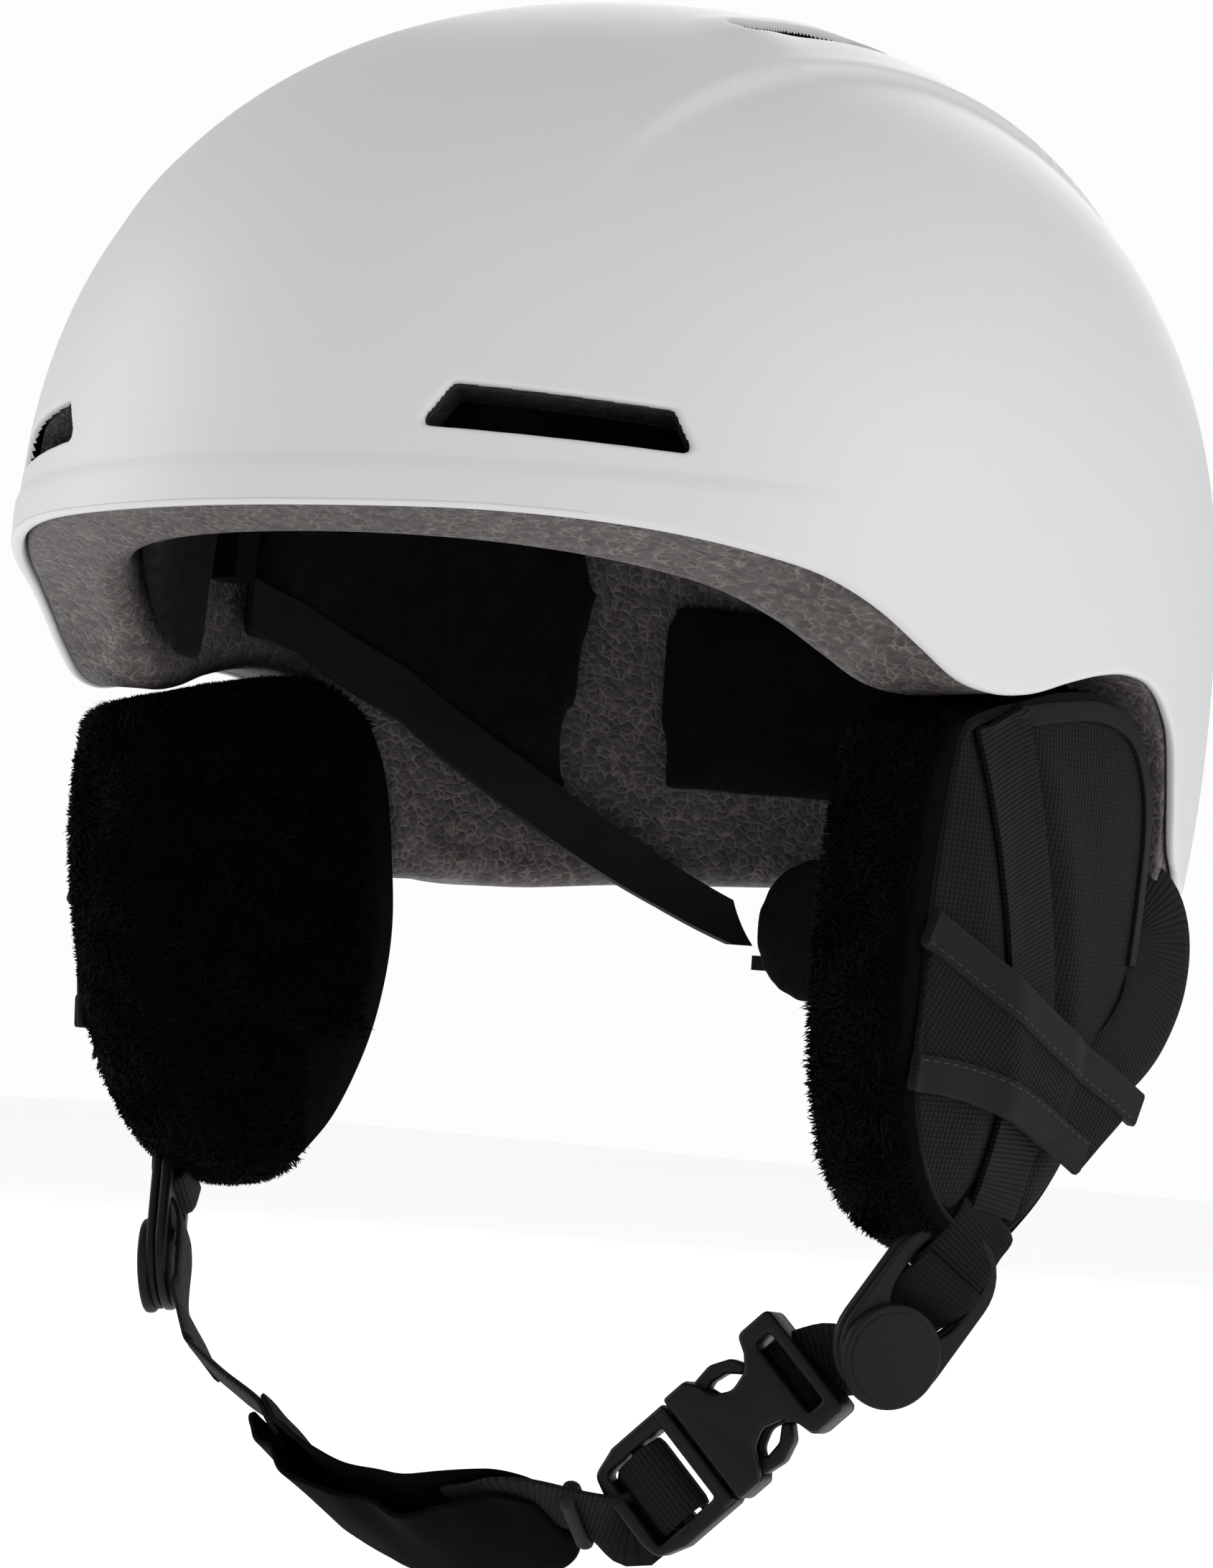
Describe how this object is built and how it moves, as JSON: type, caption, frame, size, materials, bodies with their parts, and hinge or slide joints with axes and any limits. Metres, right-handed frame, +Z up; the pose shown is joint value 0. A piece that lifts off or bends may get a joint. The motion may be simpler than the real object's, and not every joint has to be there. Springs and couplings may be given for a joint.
{
  "type": "ski helmet",
  "caption": "Hard-shell snow sports helmet with foam liner, soft ear pads, strap dividers, side release chin buckle and rear size dial.",
  "frame": {"origin": "on the mid-plane, half-way along the shell, level with the lower edge of the front brim", "axes": "+Z up towards the crown, the wearer looks along -Y, the wearer's left is +X"},
  "size_m": [0.2272, 0.276, 0.3077],
  "materials": {
    "shell_white": "fine matte lacquer over moulded plastic",
    "eps_foam": "moulded bead foam",
    "liner_knit": "brushed knit",
    "hook_loop": "hook and loop",
    "black_plastic": "fine texture",
    "soft_plastic": "satin",
    "spring_steel": "satin",
    "webbing": "ribbed woven webbing",
    "rubber_ring": "matte",
    "velour": "velour",
    "ballistic_weave": "basket weave",
    "pad_foam": "open cell foam",
    "fleece": "deep pile",
    "twill_tape": "twill tape",
    "divider_plastic": "fine texture"
  },
  "bodies": {
    "root": {"outer_shell": "shell_white", "eps_liner": "eps_foam", "brow_pad": "liner_knit", "crown_pad": "liner_knit", "nape_pad": "liner_knit", "side_pad_left": "liner_knit", "side_pad_right": "liner_knit", "hook_loop_discs": "hook_loop", "fit_band_anchor_left": "black_plastic", "fit_band_anchor_right": "black_plastic", "fit_band_left": "soft_plastic", "fit_band_right": "soft_plastic", "dial_housing": "black_plastic", "dial_cover": "black_plastic", "detent_spring": "spring_steel", "cradle_pad": "liner_knit", "cradle_hanger": "webbing", "strap_anchors": "black_plastic", "ear_pad_clips": "black_plastic", "goggle_clip_anchor": "black_plastic", "goggle_clip_stud": "spring_steel", "buckle_female": "black_plastic", "divider_web": "webbing", "chin_web_right_upper": "webbing"},
    "left_side": {"ear_pad_cover_left": "ballistic_weave", "ear_pad_foam_left": "pad_foam", "ear_pad_fleece_left": "fleece", "ear_pad_binding_left": "twill_tape", "front_web_left": "webbing", "rear_web_left": "twill_tape", "strap_keeper_left": "twill_tape", "divider_base_left": "black_plastic"},
    "right_side": {"ear_pad_cover_right": "ballistic_weave", "ear_pad_foam_right": "pad_foam", "ear_pad_fleece_right": "fleece", "ear_pad_binding_right": "twill_tape", "front_web_right": "webbing", "rear_web_right": "twill_tape", "strap_keeper_right": "twill_tape", "divider_base_right": "black_plastic"},
    "divider_lid_left": {"divider_lid_left": "divider_plastic"},
    "divider_lid_right": {"divider_lid_right": "divider_plastic"},
    "chin_strap": {"buckle_male": "black_plastic", "chin_pad": "velour", "chin_web": "webbing", "web_tail": "webbing", "chin_web_right_lower": "webbing"},
    "buckle_prong_upper": {"buckle_prong_upper": "black_plastic"},
    "buckle_prong_lower": {"buckle_prong_lower": "black_plastic"},
    "web_keeper_ring": {"web_keeper_ring": "rubber_ring"},
    "fit_dial": {"dial_knob": "soft_plastic", "dial_pinion": "black_plastic", "dial_screw": "spring_steel"},
    "rack_left": {"rack_left": "black_plastic"},
    "rack_right": {"rack_right": "black_plastic"},
    "goggle_clip": {"goggle_clip_strap": "rubber_ring", "goggle_clip_cap": "black_plastic"}
  },
  "joints": [
    {"name": "ear_pad_left_lift", "type": "hinge", "parent": "root", "child": "left_side", "pos_m": [0.1045, 0, -0.0155], "axis": [0, -1, 0], "range_deg": [0, 8], "deforming": ["rear_web_left", "divider_web"]},
    {"name": "ear_pad_right_lift", "type": "hinge", "parent": "root", "child": "right_side", "pos_m": [-0.1045, 0, -0.0155], "axis": [0, 1, 0], "range_deg": [0, 8], "deforming": ["rear_web_right", "chin_web_right_upper"]},
    {"name": "divider_left_flip", "type": "hinge", "parent": "left_side", "child": "divider_lid_left", "pos_m": [0.09791, -0.02268, -0.11671], "axis": [-0.4013, -0.7383, 0.542], "range_deg": [0, 70]},
    {"name": "divider_right_flip", "type": "hinge", "parent": "right_side", "child": "divider_lid_right", "pos_m": [-0.09791, -0.02268, -0.11671], "axis": [-0.4013, 0.7383, -0.542], "range_deg": [0, 70]},
    {"name": "buckle_release", "type": "slide", "parent": "root", "child": "chin_strap", "axis": [-0.6663, -0.2419, -0.7053], "range_m": [0, 0.028], "deforming": ["chin_web_right_lower", "buckle_prong_upper", "buckle_prong_lower"]},
    {"name": "prong_upper_squeeze", "type": "hinge", "parent": "chin_strap", "child": "buckle_prong_upper", "pos_m": [0.05192, -0.0451, -0.15525], "axis": [-0.2699, 0.96, -0.0743], "range_deg": [0, 7], "stiffness_Nm_per_rad": 0.02},
    {"name": "prong_lower_squeeze", "type": "hinge", "parent": "chin_strap", "child": "buckle_prong_lower", "pos_m": [0.06235, -0.04298, -0.16582], "axis": [0.2699, -0.96, 0.0743], "range_deg": [0, 7], "stiffness_Nm_per_rad": 0.02},
    {"name": "web_keeper_slide", "type": "slide", "parent": "chin_strap", "child": "web_keeper_ring", "axis": [-0.9484, -0.3169, 0.0025], "range_m": [-0.004, 0.0008]},
    {"name": "fit_dial_turn", "type": "hinge", "parent": "root", "child": "fit_dial", "pos_m": [0, 0.097, -0.06], "axis": [0, 1, 0], "range_deg": [-90, 90]},
    {"name": "rack_left_slide", "type": "slide", "parent": "root", "child": "rack_left", "axis": [1, 0, 0], "range_m": [-0.008, 0.008], "deforming": ["fit_band_left"]},
    {"name": "rack_right_slide", "type": "slide", "parent": "root", "child": "rack_right", "axis": [-1, 0, 0], "range_m": [-0.008, 0.008], "deforming": ["fit_band_right"]},
    {"name": "goggle_clip_flip", "type": "hinge", "parent": "root", "child": "goggle_clip", "pos_m": [0, 0.1375, -0.0165], "axis": [1, 0, 0], "range_deg": [0, 80]}
  ],
  "couplings": [
    {"joint": "rack_left_slide", "follows": "fit_dial_turn", "m_per_rad": 0.005},
    {"joint": "rack_right_slide", "follows": "fit_dial_turn", "m_per_rad": 0.005}
  ]
}
